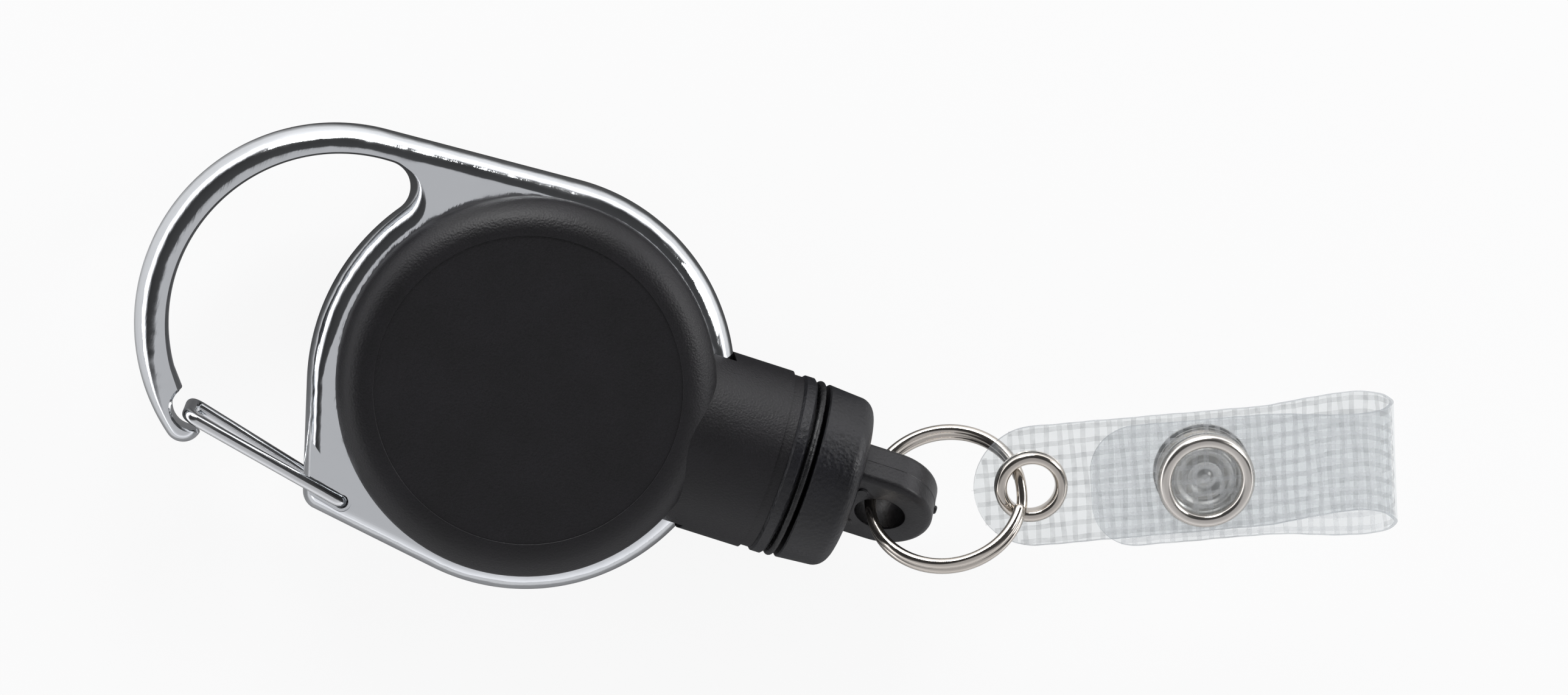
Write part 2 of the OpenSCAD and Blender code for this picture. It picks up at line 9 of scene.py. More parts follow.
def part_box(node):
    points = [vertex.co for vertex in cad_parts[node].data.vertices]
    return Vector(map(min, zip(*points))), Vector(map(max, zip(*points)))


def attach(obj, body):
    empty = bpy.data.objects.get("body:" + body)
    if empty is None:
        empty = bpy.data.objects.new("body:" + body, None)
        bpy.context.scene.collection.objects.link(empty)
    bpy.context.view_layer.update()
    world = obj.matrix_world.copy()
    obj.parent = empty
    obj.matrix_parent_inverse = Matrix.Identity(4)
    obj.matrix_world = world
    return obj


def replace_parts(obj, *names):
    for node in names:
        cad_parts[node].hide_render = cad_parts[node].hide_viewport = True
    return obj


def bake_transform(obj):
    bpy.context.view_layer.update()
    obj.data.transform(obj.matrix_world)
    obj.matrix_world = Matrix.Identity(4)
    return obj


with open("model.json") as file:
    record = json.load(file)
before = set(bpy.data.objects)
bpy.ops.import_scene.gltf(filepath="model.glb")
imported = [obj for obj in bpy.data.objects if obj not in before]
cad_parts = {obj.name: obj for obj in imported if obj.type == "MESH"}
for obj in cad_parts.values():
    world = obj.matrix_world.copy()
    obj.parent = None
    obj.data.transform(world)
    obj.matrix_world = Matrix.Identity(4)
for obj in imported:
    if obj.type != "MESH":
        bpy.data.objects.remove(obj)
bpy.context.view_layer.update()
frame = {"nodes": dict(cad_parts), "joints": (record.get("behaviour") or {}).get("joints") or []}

# A retractable badge reel. Lengths are in millimetres and are turned to metres as meshes are made.
MM = 0.001
JOINTS = {joint["name"]: joint for joint in frame["joints"]}
MID = JOINTS["gate_swing"]["pos_m"][2] / MM


# ---------- small geometry helpers ----------

def polar(centre, radius, angle):
    a = math.radians(angle)
    return (centre[0] + radius * math.cos(a), centre[1] + radius * math.sin(a))


def arc(centre, radius, start, end, step=2.0):
    """Points of an arc between two angles in degrees, no more than step degrees apart."""
    count = max(1, math.ceil(abs(end - start) / step))
    return [polar(centre, radius, start + (end - start) * i / count) for i in range(count + 1)]


def ease(t):
    """A smooth rise from 0 to 1, flat outside that span."""
    u = min(max(t, 0.0), 1.0)
    return u * u * (3 - 2 * u)


def to_mesh(name, bm, matrix=None, smooth_angle=35):
    """Turns a bmesh in millimetres into a smooth-shaded object in metres."""
    bmesh.ops.recalc_face_normals(bm, faces=bm.faces[:])
    mesh = bpy.data.meshes.new(name)
    bm.to_mesh(mesh)
    bm.free()
    mesh.transform(Matrix.Scale(MM, 4) @ (matrix or Matrix.Identity(4)))
    obj = bpy.data.objects.new(name, mesh)
    bpy.context.scene.collection.objects.link(obj)
    smooth(obj, smooth_angle)
    return obj


def smooth(obj, angle=35):
    """Smooth shading, with edges sharper than angle left sharp."""
    mesh = obj.data
    mesh.polygons.foreach_set("use_smooth", [True] * len(mesh.polygons))
    mesh.set_sharp_from_angle(angle=math.radians(angle))


def weighted(obj):
    """Keeps the large flat faces flat where they meet a rounded edge."""
    modifier = obj.modifiers.new("flat_faces", "WEIGHTED_NORMAL")
    modifier.keep_sharp = True
    modifier.weight = 80


def ring_faces(bm, lower, upper):
    """Joins two loops of the same length with a band of faces."""
    n = len(lower)
    for i in range(n):
        j = (i + 1) % n
        bm.faces.new((lower[i], lower[j], upper[j], upper[i]))


def plate(name, outline, rim, holes, matrix=None):
    """A plate with a rounded rim. outline(inset) gives the points, rim is a list of (inset, height),
    and holes are (centre, radius, bevel)."""
    bm = bmesh.new()
    levels = []
    for inset, height in rim:
        levels.append([bm.verts.new((x, y, height)) for x, y in outline(inset)])
    for lower, upper in zip(levels, levels[1:]):
        ring_faces(bm, lower, upper)
    low, high = rim[0][1], rim[-1][1]
    caps = [[levels[0]], [levels[-1]]]
    for centre, radius, bevel in holes:
        steps = [(bevel, low), (bevel * 0.3, low + bevel * 0.3), (0, low + bevel)]
        steps += [(d, high + low - z) for d, z in reversed(steps)]
        loops = [[bm.verts.new((*q, z)) for q in arc(centre, radius + d, 0, 357, 3)] for d, z in steps]
        for lower, upper in zip(loops, loops[1:]):
            ring_faces(bm, lower, upper)
        caps[0].append(loops[0])
        caps[1].append(loops[-1])
    for loops in caps:
        edges = []
        for loop in loops:
            for i, v in enumerate(loop):
                edges.append(bm.edges.get((v, loop[(i + 1) % len(loop)])))
        bmesh.ops.triangle_fill(bm, edges=edges, use_beauty=True)
    return to_mesh(name, bm, matrix)


def rounded_rim(radius, half, steps=9, last=86, width=None):
    """(inset, height) pairs of a plate's rim with both edges rounded."""
    upper = []
    for i in range(steps + 1):
        a = math.radians(last * i / steps)
        upper.append(((width or radius) * (1 - math.cos(a)), half - radius + radius * math.sin(a)))
    upper[-1] = (upper[-1][0], half)
    return [(inset, -z) for inset, z in reversed(upper)] + upper


def tube(bm, points, radius, sides=20, ends=True):
    """A round wire along points, with a low dome on each end unless ends is false."""
    pts = [Vector(p) for p in points]
    count = len(pts)
    tangents = []
    for i in range(count):
        tangents.append((pts[min(i + 1, count - 1)] - pts[max(i - 1, 0)]).normalized())
    side = tangents[0].orthogonal().normalized()
    rings = []
    for i in range(count):
        side = (side - tangents[i] * side.dot(tangents[i])).normalized()
        other = tangents[i].cross(side)
        ring = []
        for k in range(sides):
            a = 2 * math.pi * k / sides
            ring.append(bm.verts.new(pts[i] + (side * math.cos(a) + other * math.sin(a)) * radius))
        rings.append(ring)
    for lower, upper in zip(rings, rings[1:]):
        ring_faces(bm, lower, upper)
    if ends:
        for ring, p, out in ((rings[0], pts[0], -tangents[0]), (rings[-1], pts[-1], tangents[-1])):
            inner = [bm.verts.new(p + (v.co - p) * 0.8 + out * radius * 0.25) for v in ring]
            ring_faces(bm, ring, inner)
            tip = bm.verts.new(p + out * radius * 0.32)
            for i in range(sides):
                bm.faces.new((inner[i], inner[(i + 1) % sides], tip))


def fillet_path(points, radius, step=8):
    """The points of a path with each inner corner replaced by an arc, a point every step degrees."""
    pts = [Vector(p) for p in points]
    out = [pts[0]]
    for a, b, c in zip(pts, pts[1:], pts[2:]):
        d_in, d_out = (b - a).normalized(), (c - b).normalized()
        turn = d_in.angle(d_out)
        start = b - d_in * radius * math.tan(turn / 2)
        inward = (d_out - d_in * d_in.dot(d_out)).normalized()
        centre = start + inward * radius
        count = max(2, round(math.degrees(turn) / step))
        for i in range(count + 1):
            t = turn * i / count
            out.append(centre - inward * radius * math.cos(t) + d_in * radius * math.sin(t))
    out.append(pts[-1])
    return out


def lathe(name, profile, matrix, segments=72, smooth_angle=40):
    """A closed (radius, height) profile turned about the z axis; points at radius 0 stay single."""
    bm = bmesh.new()
    axis = {i: bm.verts.new((0, 0, z)) for i, (r, z) in enumerate(profile) if r == 0}
    rings = []
    for k in range(segments):
        a = 2 * math.pi * k / segments
        ring = []
        for i, (r, z) in enumerate(profile):
            ring.append(axis[i] if i in axis else bm.verts.new((r * math.cos(a), r * math.sin(a), z)))
        rings.append(ring)
    count = len(profile)
    for k in range(segments):
        near, far = rings[k], rings[(k + 1) % segments]
        for i in range(count):
            j = (i + 1) % count
            corners = list(dict.fromkeys((near[i], near[j], far[j], far[i])))
            if len(corners) > 2:
                bm.faces.new(corners)
    return to_mesh(name, bm, matrix, smooth_angle)


# ---------- materials ----------

def material(name, colour, metallic=0.0, roughness=0.5, specular=0.5):
    mat = bpy.data.materials.new(name)
    mat.use_nodes = True
    bsdf = mat.node_tree.nodes["Principled BSDF"]
    bsdf.inputs["Base Color"].default_value = (*colour, 1)
    bsdf.inputs["Metallic"].default_value = metallic
    bsdf.inputs["Roughness"].default_value = roughness
    bsdf.inputs["Specular IOR Level"].default_value = specular
    return mat


def node(mat, kind, **settings):
    item = mat.node_tree.nodes.new(kind)
    for key, value in settings.items():
        setattr(item, key, value)
    return item


def link(mat, source, target):
    mat.node_tree.links.new(source, target)


def coords(mat, scale=(1, 1, 1), turn=(0, 0, 0)):
    mapping = node(mat, "ShaderNodeMapping")
    mapping.inputs["Scale"].default_value = scale
    mapping.inputs["Rotation"].default_value = turn
    link(mat, node(mat, "ShaderNodeTexCoord").outputs["Object"], mapping.inputs["Vector"])
    return mapping.outputs["Vector"]


def ramp(mat, source, stops):
    """A colour ramp from (place, grey or colour) stops."""
    item = node(mat, "ShaderNodeValToRGB")
    elements = item.color_ramp.elements
    while len(elements) < len(stops):
        elements.new(0.5)
    for element, (place, value) in zip(elements, stops):
        element.position = place
        element.color = (*value, 1) if isinstance(value, tuple) else (value, value, value, 1)
    link(mat, source, item.inputs["Fac"])
    return item.outputs["Color"]


def bump(mat, heights):
    """Adds bump from (socket, strength, distance in mm) triples, one on top of the other."""
    previous = None
    for socket, strength, distance in heights:
        item = node(mat, "ShaderNodeBump")
        item.inputs["Strength"].default_value = strength
        item.inputs["Distance"].default_value = distance * MM
        link(mat, socket, item.inputs["Height"])
        if previous:
            link(mat, previous, item.inputs["Normal"])
        previous = item.outputs["Normal"]
    link(mat, previous, mat.node_tree.nodes["Principled BSDF"].inputs["Normal"])


def noise_socket(mat, vector, scale, detail=3.0, rough=0.55):
    item = node(mat, "ShaderNodeTexNoise")
    item.inputs["Scale"].default_value = scale
    item.inputs["Detail"].default_value = detail
    item.inputs["Roughness"].default_value = rough
    link(mat, vector, item.inputs["Vector"])
    return item.outputs["Fac"]


def voronoi_socket(mat, vector, scale):
    item = node(mat, "ShaderNodeTexVoronoi")
    item.feature = "SMOOTH_F1"
    item.inputs["Scale"].default_value = scale
    item.inputs["Smoothness"].default_value = 0.6
    link(mat, vector, item.inputs["Vector"])
    return item.outputs["Distance"]


def metal(name, colour, roughness, scratch=0.25, wobble=0.35):
    """Bright plate over metal: faint polish marks, uneven gloss and a slightly wavy surface."""
    mat = material(name, colour, 1.0, roughness)
    bsdf = mat.node_tree.nodes["Principled BSDF"]
    patches = noise_socket(mat, coords(mat), 220, 4)
    gloss = ramp(mat, patches, [(0.35, roughness * 0.7), (0.7, roughness * 1.5)])
    link(mat, gloss, bsdf.inputs["Roughness"])
    hairs = noise_socket(mat, coords(mat, (1, 0.08, 0.4), (0, 0, 0.6)), 5000, 3)
    waves = noise_socket(mat, coords(mat), 260, 2)
    pits = noise_socket(mat, coords(mat), 5200, 1)
    bump(mat, [(waves, wobble, 0.25), (hairs, scratch, 0.014), (pits, scratch * 0.6, 0.006)])
    return mat


def moulding(name, colour, roughness, grain, fine, depth=0.03, shine=0.5):
    """Black plastic with a leather grain (cells of size grain) and fine spark-eroded texture."""
    mat = material(name, colour, 0.0, roughness, shine)
    bsdf = mat.node_tree.nodes["Principled BSDF"]
    place = coords(mat)
    cells = voronoi_socket(mat, place, 1 / (grain * MM))
    dust = noise_socket(mat, place, 1 / (fine * MM), 4, 0.7)
    cloud = noise_socket(mat, place, 160, 3)
    both = node(mat, "ShaderNodeMath", operation="MULTIPLY_ADD")
    both.inputs[1].default_value = 0.35
    link(mat, cloud, both.inputs[0])
    link(mat, dust, both.inputs[2])
    tint = ramp(mat, both.outputs["Value"], [(0.45, tuple(0.4 * c for c in colour)),
                                             (0.62, colour), (0.9, tuple(3.2 * c for c in colour))])
    link(mat, tint, bsdf.inputs["Base Color"])
    link(mat, ramp(mat, dust, [(0.3, roughness * 0.85), (0.7, roughness * 1.2)]), bsdf.inputs["Roughness"])
    bump(mat, [(cells, 0.5, depth), (dust, 0.5, depth * 0.6)])
    return mat


def make_materials():
    m = {}
    m["chrome"] = metal("bright_chrome", (0.80, 0.82, 0.84), 0.09, 0.4, 0.5)
    m["gate"] = metal("plated_wire", (0.78, 0.79, 0.80), 0.13, 0.15)
    m["nickel"] = metal("nickel_plate", (0.63, 0.585, 0.53), 0.14, 0.15)
    m["snap"] = metal("snap_plate", (0.70, 0.665, 0.62), 0.20, 0.2)
    # The socket dish: the snap's plating made lighter, painted light making up for the dark reflections the
    # dish gets
    m["dish"] = metal("dish_plate_painted_light", (0.92, 0.90, 0.87), 0.42, 0.3)
    m["steel"] = metal("plain_steel", (0.5, 0.5, 0.52), 0.3, 0.4)
    m["face"] = moulding("housing_grain", (0.0034, 0.0030, 0.0040), 0.43, 0.22, 0.09, 0.05, 0.42)
    m["leather"] = moulding("leather_grain", (0.0034, 0.0034, 0.0050), 0.31, 0.40, 0.12, 0.08, 0.47)
    m["lug"] = moulding("lug_grain", (0.0058, 0.0054, 0.0066), 0.36, 0.3, 0.1, 0.03, 0.45)
    m["rubber"] = moulding("soft_black", (0.004, 0.004, 0.0045), 0.26, 0.5, 0.15, 0.1, 0.4)
    m["natural"] = milky("natural_plastic", (0.62, 0.61, 0.56), 0.35)
    m["cord"] = moulding("braided_cord", (0.012, 0.012, 0.012), 0.7, 0.25, 0.1, 0.08)
    m["sheet"] = vinyl("clear_vinyl")
    # The sheet's cut edges: darker, less clear vinyl, painted shade for the dark line light gives a clear
    # sheet's edge
    m["edge"] = vinyl("vinyl_edge_painted_shade", 0.45, (0.24, 0.26, 0.28))
    m["thread"] = thread("net_thread", (0.40, 0.41, 0.41), 0.21)
    # A lighter copy of the net thread for the flap: painted highlight standing in for the shine on the front
    # layer's threads
    m["thread_painted_highlight"] = thread("net_thread_painted_highlight", (0.92, 0.93, 0.94), 0.26)
    return m


def milky(name, colour, roughness):
    """Uncoloured moulded plastic: faint clouds in its colour and soft flow marks."""
    mat = material(name, colour, 0.0, roughness)
    bsdf = mat.node_tree.nodes["Principled BSDF"]
    cloud = noise_socket(mat, coords(mat, (1, 1, 3)), 350, 3)
    tint = ramp(mat, cloud, [(0.3, tuple(0.88 * c for c in colour)), (0.7, tuple(1.06 * c for c in colour))])
    link(mat, tint, bsdf.inputs["Base Color"])
    link(mat, ramp(mat, cloud, [(0.3, roughness * 0.8), (0.7, roughness * 1.3)]), bsdf.inputs["Roughness"])
    bump(mat, [(noise_socket(mat, coords(mat), 3000, 2), 0.3, 0.01)])
    return mat


def vinyl(name, cover=0.09, colour=(0.72, 0.74, 0.75)):
    """Clear vinyl: most light goes straight through, some is scattered, and the surface shines."""
    mat = material(name, colour, 0.0, 0.22, 0.6)
    tree = mat.node_tree
    bsdf = tree.nodes["Principled BSDF"]
    clear = node(mat, "ShaderNodeBsdfTransparent")
    clear.inputs["Color"].default_value = (0.945, 0.955, 0.96, 1)
    mix = node(mat, "ShaderNodeMixShader")
    place = coords(mat)
    haze = noise_socket(mat, place, 300, 3)
    link(mat, ramp(mat, haze, [(0.3, cover * 0.75), (0.75, cover * 1.3)]), mix.inputs["Fac"])
    link(mat, clear.outputs["BSDF"], mix.inputs[1])
    link(mat, bsdf.outputs["BSDF"], mix.inputs[2])
    link(mat, mix.outputs["Shader"], tree.nodes["Material Output"].inputs["Surface"])
    bump(mat, [(noise_socket(mat, place, 500, 2), 0.5, 0.08)])
    return mat


def thread(name, colour, cover):
    """Thin flat thread in the vinyl, mostly clear, with an uneven share of light scattered."""
    mat = material(name, colour, 0.0, 0.4, 0.6)
    tree = mat.node_tree
    clear = node(mat, "ShaderNodeBsdfTransparent")
    mix = node(mat, "ShaderNodeMixShader")
    uneven = noise_socket(mat, coords(mat), 900, 2)
    link(mat, ramp(mat, uneven, [(0.3, cover * 0.6), (0.7, cover * 1.4)]), mix.inputs["Fac"])
    link(mat, clear.outputs["BSDF"], mix.inputs[1])
    link(mat, tree.nodes["Principled BSDF"].outputs["BSDF"], mix.inputs[2])
    link(mat, mix.outputs["Shader"], tree.nodes["Material Output"].inputs["Surface"])
    bump(mat, [(noise_socket(mat, coords(mat), 6000, 2), 0.4, 0.02)])
    return mat


# ---------- carabiner frame ----------

FRAME_HALF = 3.25
EDGE_R = 1.9                      # radius of the outline's tight corners, at the nose and the heel
EDGE_W, EDGE_H = 2.45, 2.7        # width and height of the rounded edge
CRISP = 0.3                       # the hook's inner edge is only broken by this much
RING_C, RING_R = (0.3, 0.1), 20.9
HOOK_C, HOOK_R = (-19.7, -0.15), 20.0
HOOK_IN_C, HOOK_IN_R = (-19.3, -0.1), 17.0
FILLET_R = 2.6
EYE_C = (0.5, -0.4)
FILLET_C = (HOOK_IN_C[0], HOOK_IN_C[1] + HOOK_IN_R - FILLET_R)
EYE_R = math.dist(FILLET_C, EYE_C) - FILLET_R
NOSE_ANGLE = 231
RIM_END = 195.8
FOOT_ANGLE = 261
NOTCH_C, NOTCH_R = (-30.6, -12.3), 2.2
BORE_R = 16.5
PIVOT = tuple(v / MM for v in JOINTS["gate_swing"]["pos_m"][:2])
GATE_ANGLE = 166.8
GATE_LEN = 17.5
GATE_SPLAY = 0.35
GATE_R = 0.63
GATE_BEND = 1.0                   # radius of the bends in the gate's wire
GATE_TAIL = 2.6                   # length of the wire's ends in the pivot holes
GATE_OPEN = 25
PIVOT_HOLE_R = 0.7
RECESS_FLOOR, RECESS_TOP = 2.6, 4  # heights of the gate's pockets from the middle plane
RECESS_REACH = 12
RECESS_ROOM = 0.35                # room between the wire and the pocket's wall


def touch_angle(c1, r1, c2, r2):
    """The angle at which the straight line along the top touches two circles."""
    dx, dy = c2[0] - c1[0], c2[1] - c1[1]
    return math.degrees(math.atan2(dy, dx)) + 360 - math.degrees(math.acos((r1 - r2) / math.hypot(dx, dy)))


def meet(p, a, q, b):
    """Where the line from p at angle a crosses the line from q at angle b."""
    a, b = math.radians(a), math.radians(b)
    dx, dy = q[0] - p[0], q[1] - p[1]
    k = (dx * math.sin(b) - dy * math.cos(b)) / (math.cos(a) * math.sin(b) - math.sin(a) * math.cos(b))
    return (p[0] + k * math.cos(a), p[1] + k * math.sin(a))


TOP_ANGLE = touch_angle(RING_C, RING_R, HOOK_C, HOOK_R)
RIM_START = math.degrees(math.atan2(FILLET_C[1] - EYE_C[1], FILLET_C[0] - EYE_C[0]))
HEEL = meet(polar(EYE_C, EYE_R - EDGE_R, RIM_END), RIM_END + 90,
            polar(RING_C, RING_R - EDGE_R, FOOT_ANGLE), FOOT_ANGLE + 90)
NOSE_C = polar(HOOK_C, HOOK_R - EDGE_R, NOSE_ANGLE)


def blended_arc(centre, radius, start, end, inset, from_start=None, from_end=None):
    """An arc drawn in by inset. Near an end that meets a tight corner the inset eases to a share of that:
    from_start and from_end are (degrees, share)."""
    span = abs(end - start)
    count = math.ceil(span / 1.5)
    points = []
    for i in range(count + 1):
        t = i / count
        amount = inset
        if from_start:
            amount *= from_start[1] + (1 - from_start[1]) * ease(t * span / from_start[0])
        if from_end:
            amount *= from_end[1] + (1 - from_end[1]) * ease((1 - t) * span / from_end[0])
        points.append(polar(centre, radius - amount, start + (end - start) * t))
    return points


NOSE_SHARE = 0.42                 # the nose beside the notch is too narrow for the full rounded edge
HEEL_SHARE = 0.72                 # so is the heel


def fillet_arc(inset, crisp):
    """The fillet at the top of the eye, where the rounded edge runs out into the hook's crisp edge."""
    start, points = RIM_START - 180, []
    for i in range(26):
        t = i / 25
        amount = inset + (crisp - inset) * ease(t / 0.85)
        points.append(polar(FILLET_C, FILLET_R + amount, start + (90 - start) * t))
    return points


def frame_outline(inset):
    """The casting's outline without the notch, drawn in by inset along its rounded edge."""
    crisp = min(inset, CRISP)
    nose = EDGE_R - inset * NOSE_SHARE
    heel = EDGE_R - inset * HEEL_SHARE
    return (arc(NOSE_C, nose, NOSE_ANGLE + 115, NOSE_ANGLE, 8)
            + blended_arc(HOOK_C, HOOK_R, NOSE_ANGLE, TOP_ANGLE, inset, from_start=(36, NOSE_SHARE))[1:]
            + blended_arc(RING_C, RING_R, TOP_ANGLE, FOOT_ANGLE - 360, inset, from_end=(22, HEEL_SHARE))
            + arc(HEEL, heel, FOOT_ANGLE, RIM_END, 7)[1:]
            + blended_arc(EYE_C, EYE_R, RIM_END, RIM_START, inset, from_start=(18, HEEL_SHARE))
            + fillet_arc(inset, crisp)[1:]
            + arc(HOOK_IN_C, HOOK_IN_R + crisp, 91, 212, 1.5))


def gate_recess():
    """Cutter for the shallow pockets that the gate's legs swing in."""
    half = GATE_R + RECESS_ROOM
    opened = GATE_ANGLE - GATE_OPEN
    a = polar(PIVOT, half, GATE_ANGLE + 90)
    d = polar(PIVOT, half, opened - 90)
    loop = [a, polar(a, RECESS_REACH, GATE_ANGLE), polar(d, RECESS_REACH, opened), d]
    loop += arc(PIVOT, half, opened - 90, GATE_ANGLE + 90 - 360, 12)[1:-1]
    bm = bmesh.new()
    for low, high in ((RECESS_FLOOR, RECESS_TOP), (-RECESS_TOP, -RECESS_FLOOR)):
        lower = [bm.verts.new((*q, low)) for q in loop]
        upper = [bm.verts.new((*q, high)) for q in loop]
        ring_faces(bm, lower, upper)
        bm.faces.new(lower)
        bm.faces.new(upper)
    return to_mesh("recess_cutter", bm, Matrix.Translation((0, 0, MID)))


def notch_cutter():
    """Cutter for the seat in the hook that the gate's cross bar rests in, with broken edges."""
    edge = FRAME_HALF - 0.25
    profile = [(0, -4), (NOTCH_R + 1, -4), (NOTCH_R, -edge), (NOTCH_R, edge), (NOTCH_R + 1, 4), (0, 4)]
    return lathe("notch_cutter", profile, Matrix.Translation((*NOTCH_C, MID)), 96)


def cut(obj, cutter):
    """Cuts one object out of another and leaves a plain mesh."""
    modifier = obj.modifiers.new("cut", "BOOLEAN")
    modifier.operation = "DIFFERENCE"
    modifier.solver = "MANIFOLD"
    modifier.object = cutter
    bpy.context.view_layer.update()
    result = bpy.data.meshes.new_from_object(obj.evaluated_get(bpy.context.evaluated_depsgraph_get()))
    obj.modifiers.clear()
    obj.data = result
    bpy.data.objects.remove(cutter)
    return obj


def make_frame(m):
    rim = rounded_rim(EDGE_H, FRAME_HALF, 12, 86, EDGE_W)
    holes = [((0, 0), BORE_R, 0.2), (PIVOT, PIVOT_HOLE_R, 0.15)]
    casting = plate("carabiner_casting", frame_outline, rim, holes, Matrix.Translation((0, 0, MID)))
    cut(casting, gate_recess())
    cut(casting, notch_cutter())
    casting.data.materials.clear()
    casting.data.materials.append(m["chrome"])
    smooth(casting, 32)
    weighted(casting)
    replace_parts(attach(casting, "reel_body"), "carabiner_frame")


def make_gate(m):
    tip = polar(PIVOT, GATE_LEN, GATE_ANGLE)
    side = polar((0, 0), GATE_SPLAY, GATE_ANGLE + 90)
    z = FRAME_HALF
    path = [(*PIVOT, z - GATE_TAIL), (*PIVOT, z), (tip[0] + side[0], tip[1] + side[1], z),
            (tip[0] - side[0], tip[1] - side[1], -z), (*PIVOT, -z), (*PIVOT, GATE_TAIL - z)]
    bm = bmesh.new()
    tube(bm, fillet_path(path, GATE_BEND), GATE_R, 24)
    gate = to_mesh("gate_wire_bent", bm, Matrix.Translation((0, 0, MID)), 50)
    gate.data.materials.append(m["gate"])
    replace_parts(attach(gate, "gate"), "gate_wire")


# ---------- swivel lug ----------

LUG_AXIS = JOINTS["ring_swing"]["axis"]
LUG_TURN = math.atan2(-LUG_AXIS[1], LUG_AXIS[2])
LUG_FRAME = Matrix.Translation((0, 0, MID)) @ Matrix.Rotation(LUG_TURN, 4, "X")
LUG_X, LUG_C, LUG_W, LUG_HALF = 34.65, 38.3, 10.6, 2.3
LUG_HOLE = (38.3, 0)
LUG_HOLE_R = 2.52
LUG_EDGE = 0.75
STEM_R = 2.55
PIN_MARK = (0.62, 35.6, 2.9)      # radius and place of the two round mould marks
GATE_MARK = (0.45, 0.12)          # radius and height of the moulding's sprue mark at the tip


def lug_outline(inset):
    r = LUG_W / 2 - inset
    return [(LUG_X, -r)] + arc((LUG_C, 0), r, -90, 90, 5) + [(LUG_X, r)]


def make_lug(m):
    rim = rounded_rim(LUG_EDGE, LUG_HALF, 6)
    middle = len(rim) // 2
    parting_line = [(0, -0.10), (-0.04, -0.04), (-0.04, 0.04), (0, 0.10)]
    rim[middle:middle] = parting_line
    lug = plate("lug_body", lug_outline, rim, [(LUG_HOLE, LUG_HOLE_R, 0.3)], LUG_FRAME)
    lug.data.materials.append(m["lug"])
    weighted(lug)
    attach(lug, "lug")
    bm = bmesh.new()
    tube(bm, [(x, 0, 0) for x in (31.7, 33, LUG_X + 0.1)], STEM_R, 32)
    mark_r, x, away = PIN_MARK
    for y in (away, -away):
        tube(bm, [(x, y, LUG_HALF - 0.05), (x, y, LUG_HALF + 0.03)], mark_r, 24)
    mark_r, proud = GATE_MARK
    tip = LUG_C + LUG_W / 2
    tube(bm, [(tip - 0.1, 0.5, 0), (tip + proud, 0.5, 0)], mark_r, 12)
    stem = to_mesh("lug_stem", bm, LUG_FRAME)
    stem.data.materials.append(m["lug"])
    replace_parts(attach(stem, "lug"), "swivel_lug")


# ---------- split ring ----------

RING_HINGE = Vector(JOINTS["ring_swing"]["pos_m"]) / MM
SPLIT_R, SPLIT_WIRE = 7.7, 0.55
SPLIT_STEP = 1.03                 # distance between the middles of the two coils
SPLIT_SWING, SPLIT_TILT = math.radians(23), math.radians(7)
CRANK = 26                        # degrees the wire takes to step from one coil to the other
SPLIT_END = 308                   # where the front coil ends, counted round from the far side


def make_split_ring(m):
    """Two turns of round wire with a short crank between them, hung in the lug's hole."""
    place = (Matrix.Translation(RING_HINGE) @ Matrix.Rotation(LUG_TURN, 4, "X")
             @ Matrix.Rotation(SPLIT_SWING, 4, "Z") @ Matrix.Rotation(SPLIT_TILT, 4, "X"))
    points = []
    total = 720 - CRANK - 3
    for i in range(0, total + 1, 3):
        rise = SPLIT_STEP * (ease((i - (360 - CRANK - 1)) / CRANK) - 0.5)
        a = math.radians(SPLIT_END + CRANK - i)
        points.append((SPLIT_R + SPLIT_R * math.cos(a), rise, SPLIT_R * math.sin(a)))
    bm = bmesh.new()
    tube(bm, points, SPLIT_WIRE, 20)
    ring = to_mesh("split_ring_coils", bm, place, 50)
    ring.data.materials.append(m["nickel"])
    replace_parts(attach(ring, "ring"), "split_ring")


# ---------- strap ----------

STRAP_AT = Vector((51.7, 5.8, 13.35))
STRAP_TURN = Euler((math.radians(12), math.radians(-3), math.radians(23)), "XYZ")
STRAP = Matrix.Translation(STRAP_AT) @ STRAP_TURN.to_matrix().to_4x4()
STRAP_W, SHEET_T = 12.7, 0.4
TAIL, FLAP_END, FOLD_X = -5.8, 5.8, 33.0
BEND_FROM = 22.5                  # where the two legs start to part towards the fold
GAP, REAR_BULGE, FRONT_BULGE = 2.6, 2.2, 2.4
FOLD_R = (GAP + REAR_BULGE + FRONT_BULGE) / 2
FOLD_Z = FOLD_R - REAR_BULGE
FLAP_CORNER = 4.6
SHEET_STEP, SHEET_ACROSS = 0.4, 14
END_STEPS = (0, 0.05, 0.15, 0.35)  # tighter steps where a piece of sheet ends
NET_PITCH, NET_ROW = 1.27, 1.45   # spacing of the cross threads and of the lengthwise threads
NET_LIFT = 0.07                   # how far a thread rises over the one it crosses
THREAD_W = 0.52
EYELET_HOLE = 2.95
HINGE_ARC = 60                    # the hinge piece starts this many degrees past the fold's tip
HINGE_RUN = 3.2                   # and ends this far along the straight part of the flap


def rear_z(x):
    """Height of the rear leg's middle line; front_z gives the front leg's."""
    return -REAR_BULGE * ease((x - BEND_FROM) / (FOLD_X - BEND_FROM))


def front_z(x):
    return GAP + FRONT_BULGE * ease((x - BEND_FROM) / (FOLD_X - BEND_FROM))


def strap_path():
    """The strap's middle line seen from the side, from the eyelet end to the free end of the flap."""
    rear = [(x, rear_z(x)) for x in np.arange(TAIL, FOLD_X, 0.35)]
    fold = [(FOLD_X + FOLD_R * math.cos(math.radians(a)), FOLD_Z + FOLD_R * math.sin(math.radians(a)))
            for a in np.arange(-90, 90.1, 5)]
    front = [(x, front_z(x)) for x in np.arange(FOLD_X - 0.35, FLAP_END, -0.35)] + [(FLAP_END, GAP)]
    pts = np.array(rear + fold + front)
    steps = np.linalg.norm(np.diff(pts, axis=0), axis=1)
    s = np.concatenate([[0], np.cumsum(steps)])
    tangent = np.gradient(pts, s, axis=0)
    tangent /= np.linalg.norm(tangent, axis=1)[:, None]
    normal = np.stack([-tangent[:, 1], tangent[:, 0]], 1)
    return pts, s, normal


